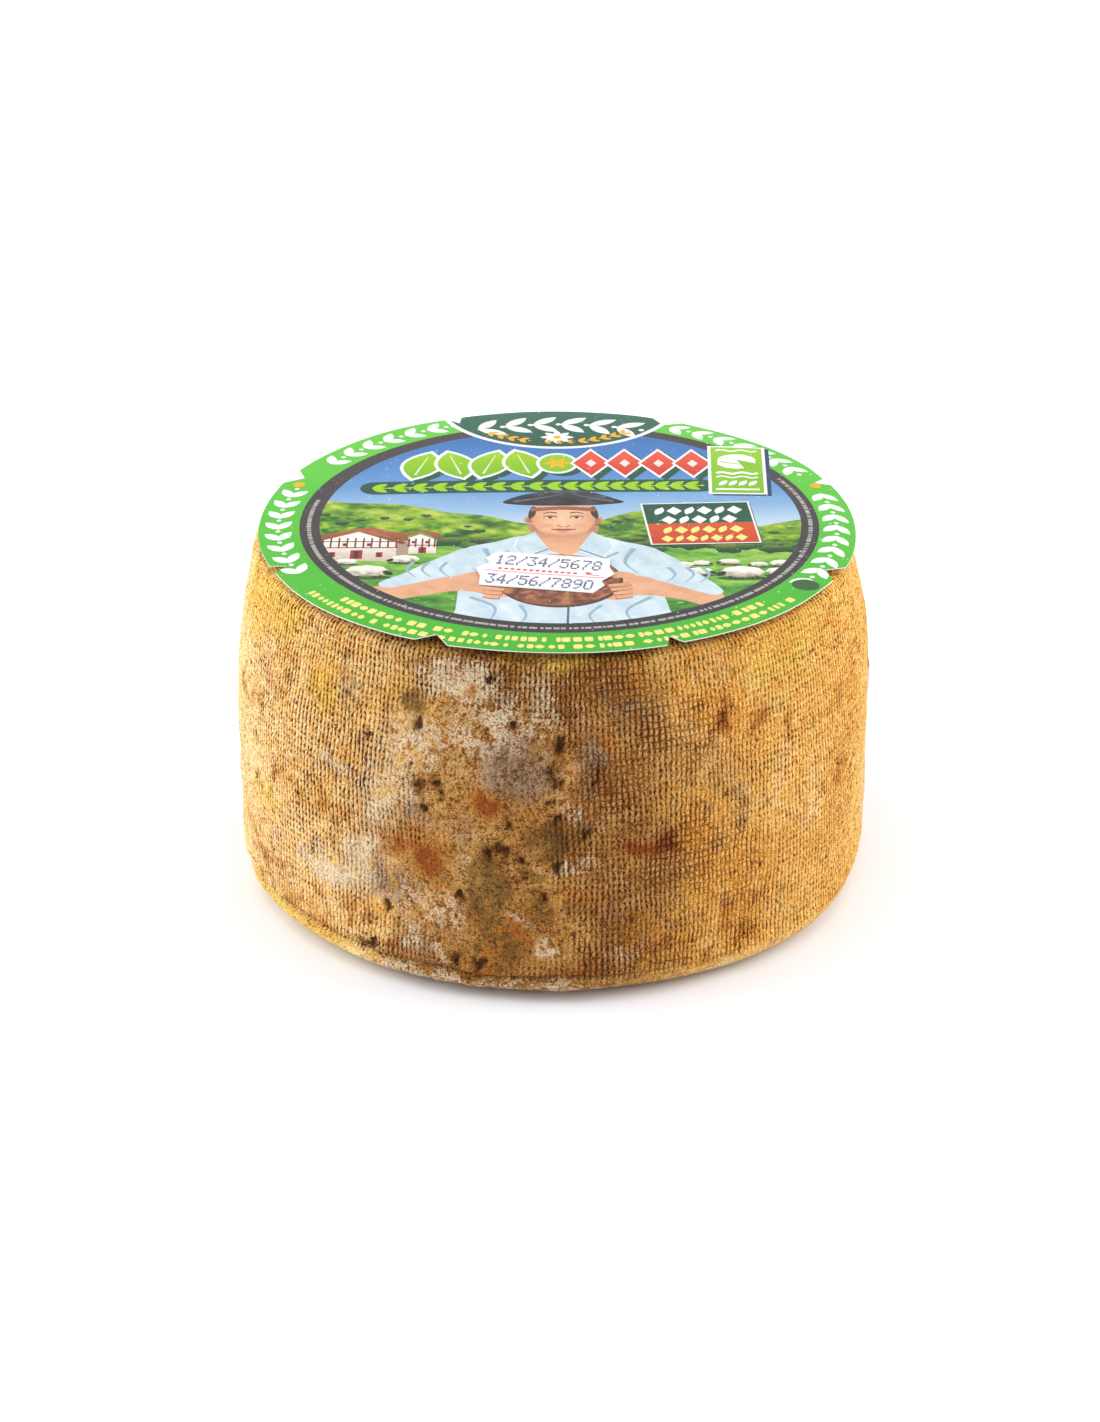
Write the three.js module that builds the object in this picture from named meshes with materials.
// A small wheel of pressed ewe's-milk cheese, with a paper label on its top face and a date sticker on the
// label. Millimetres, +Z up. The origin is the centre of the face that the wheel stands on.
import * as THREE from "three";

// Driving dimensions
const WHEEL_HEIGHT = 86.4;
const BELLY_RADIUS = 75.4;
const FOOT_RADIUS = 65; // the flat that the wheel stands on
const OUT_OF_ROUND = 0.3;
const FLAT_TOP_RADIUS = 59; // past it the top face starts to fall towards the shoulder
const SHOULDER_RADIUS = 69.7;
const SHOULDER_DROP = 2.6;

const PAPER = 0.3; // label and sticker are this thick
const PAPER_GAP = 0.35; // between sheets that lie on each other
const LABEL_RADIUS = 70.5;
const LABEL_OFFSET = 0.9; // the label was put on a little to one side
const LABEL_DROOP = 1.5; // the label's rim hangs this far below its middle
const NOTCHES = 8;
const NOTCH_DEPTH = 3.8;
const NOTCH_HALF_ANGLE = 0.052;
const FIRST_NOTCH = Math.PI / NOTCHES;

const STICKER_LENGTH = 32;
const STICKER_WIDTH = 19;
const STICKER_END_BULGE = 3; // how far each rounded end stands out from its corners
const STICKER_CENTRE = [-2, -29.1];
const STICKER_TURN = -0.17;

const AROUND = 96; // facets round the wheel

function smooth(from, to, x) {
  const t = THREE.MathUtils.clamp((x - from) / (to - from), 0, 1);
  return t * t * (3 - 2 * t);
}

// The height of a sheet or face that is flat in the middle and falls by drop at its rim.
function fallingFace(radius, rimRadius, drop) {
  const t = Math.max(0, (radius - FLAT_TOP_RADIUS) / (rimRadius - FLAT_TOP_RADIUS));
  return -drop * t * t;
}

// Skins a closed body of rings: rings[i][j] are points, the first ring is the lowest and each ring turns
// anticlockwise seen from above. Both end rings are closed with a fan about their own centre.
function ringBody(rings) {
  const around = rings[0].length;
  const points = rings.flat();
  const index = [];
  for (let i = 0; i + 1 < rings.length; i++)
    for (let j = 0; j < around; j++) {
      const a = i * around + j;
      const b = i * around + ((j + 1) % around);
      index.push(a, b, b + around, a, b + around, a + around);
    }
  const closeWith = (ring, first, facesUp) => {
    const centre = new THREE.Vector3();
    ring.forEach((p) => centre.add(p));
    points.push(centre.divideScalar(around));
    for (let j = 0; j < around; j++) {
      const pair = [first + j, first + ((j + 1) % around)];
      index.push(points.length - 1, ...(facesUp ? pair : pair.reverse()));
    }
  };
  closeWith(rings[0], 0, false);
  closeWith(rings.at(-1), (rings.length - 1) * around, true);
  return new THREE.BufferGeometry().setFromPoints(points).setIndex(index);
}

function ringOf(angles, radiusAt, heightAt) {
  return angles.map((angle) => {
    const radius = radiusAt(angle);
    return new THREE.Vector3(radius * Math.cos(angle), radius * Math.sin(angle), heightAt(radius, angle));
  });
}

// The side of the wheel, from the standing face up to the shoulder: [share of the height, radius].
function sideProfile() {
  const belly = BELLY_RADIUS - OUT_OF_ROUND;
  return new THREE.CatmullRomCurve3(
    [
      [0, FOOT_RADIUS],
      [0.015, FOOT_RADIUS + 4.8],
      [0.042, belly - 1.9],
      [0.09, belly - 0.3],
      [0.18, belly],
      [0.4, belly],
      [0.6, belly - 0.4],
      [0.74, belly - 1.5],
      [0.86, belly - 2.8],
      [0.93, belly - 4.2],
      [1 - SHOULDER_DROP / WHEEL_HEIGHT, SHOULDER_RADIUS],
    ].map(([share, radius]) => new THREE.Vector3(radius, 0, share * WHEEL_HEIGHT)),
    false,
    "centripetal",
  );
}

function cheeseWheel() {
  const angles = Array.from({ length: AROUND }, (_, j) => (2 * Math.PI * j) / AROUND);
  const outOfRound = (angle, height) =>
    OUT_OF_ROUND * Math.cos(2 * angle) * smooth(0, 0.3 * WHEEL_HEIGHT, height);
  const side = sideProfile()
    .getPoints(22)
    .map((p) => ringOf(angles, (a) => p.x + outOfRound(a, p.z), () => p.z));
  const top = [67, 63.5, FLAT_TOP_RADIUS].map((radius) =>
    ringOf(angles, () => radius, () => WHEEL_HEIGHT + fallingFace(radius, SHOULDER_RADIUS, SHOULDER_DROP)),
  );
  return ringBody([...side, ...top]);
}

// Angles that give each notch its two lips and its root, with arc points between them.
function labelAngles() {
  const lobe = (2 * Math.PI) / NOTCHES;
  const arcSteps = 7;
  const angles = [];
  for (let k = 0; k < NOTCHES; k++) {
    const root = FIRST_NOTCH + k * lobe;
    const start = root + NOTCH_HALF_ANGLE;
    const arc = lobe - 2 * NOTCH_HALF_ANGLE;
    angles.push(root);
    for (let i = 0; i <= arcSteps; i++) angles.push(start + (arc * i) / arcSteps);
  }
  return angles;
}

function labelEdge(angle) {
  const lobe = (2 * Math.PI) / NOTCHES;
  const fromRoot = Math.abs(THREE.MathUtils.euclideanModulo(angle - FIRST_NOTCH + lobe / 2, lobe) - lobe / 2);
  return LABEL_RADIUS - NOTCH_DEPTH * Math.max(0, 1 - fromRoot / NOTCH_HALF_ANGLE);
}

function paperLabel() {
  const angles = labelAngles();
  const shares = [FLAT_TOP_RADIUS / LABEL_RADIUS, 0.89, 0.93, 0.97, 1];
  const face = (share, lift) =>
    ringOf(
      angles,
      (angle) => share * labelEdge(angle),
      (radius) => lift + fallingFace(radius, LABEL_RADIUS, LABEL_DROOP),
    );
  const under = shares.map((share) => face(share, 0));
  const over = shares.toReversed().map((share) => face(share, PAPER));
  return ringBody([...under, ...over]);
}

function dateSticker() {
  const straight = STICKER_LENGTH / 2 - STICKER_END_BULGE;
  const half = STICKER_WIDTH / 2;
  const outline = new THREE.Shape();
  outline.moveTo(-straight, -half);
  outline.lineTo(straight, -half);
  outline.quadraticCurveTo(straight + 2 * STICKER_END_BULGE, 0, straight, half);
  outline.lineTo(-straight, half);
  outline.quadraticCurveTo(-straight - 2 * STICKER_END_BULGE, 0, -straight, -half);
  return new THREE.ExtrudeGeometry(outline, { depth: PAPER, bevelEnabled: false, curveSegments: 10 });
}

function piece(name, geometry, color, roughness) {
  const mesh = new THREE.Mesh(geometry, new THREE.MeshStandardMaterial({ color, roughness, metalness: 0 }));
  mesh.name = name;
  return mesh;
}

const wheel = piece("cheese_wheel", cheeseWheel(), 0xc08a45, 0.75);

const label = piece("paper_label", paperLabel(), 0x55b82e, 0.35);
label.position.set(LABEL_OFFSET, 0, WHEEL_HEIGHT + PAPER_GAP);

const sticker = piece("date_sticker", dateSticker(), 0xf2f2f4, 0.4);
sticker.position.set(...STICKER_CENTRE, label.position.z + PAPER + PAPER_GAP);
sticker.rotation.z = STICKER_TURN;

const labelledWheel = new THREE.Group();
labelledWheel.add(wheel, label, sticker);

export default labelledWheel;
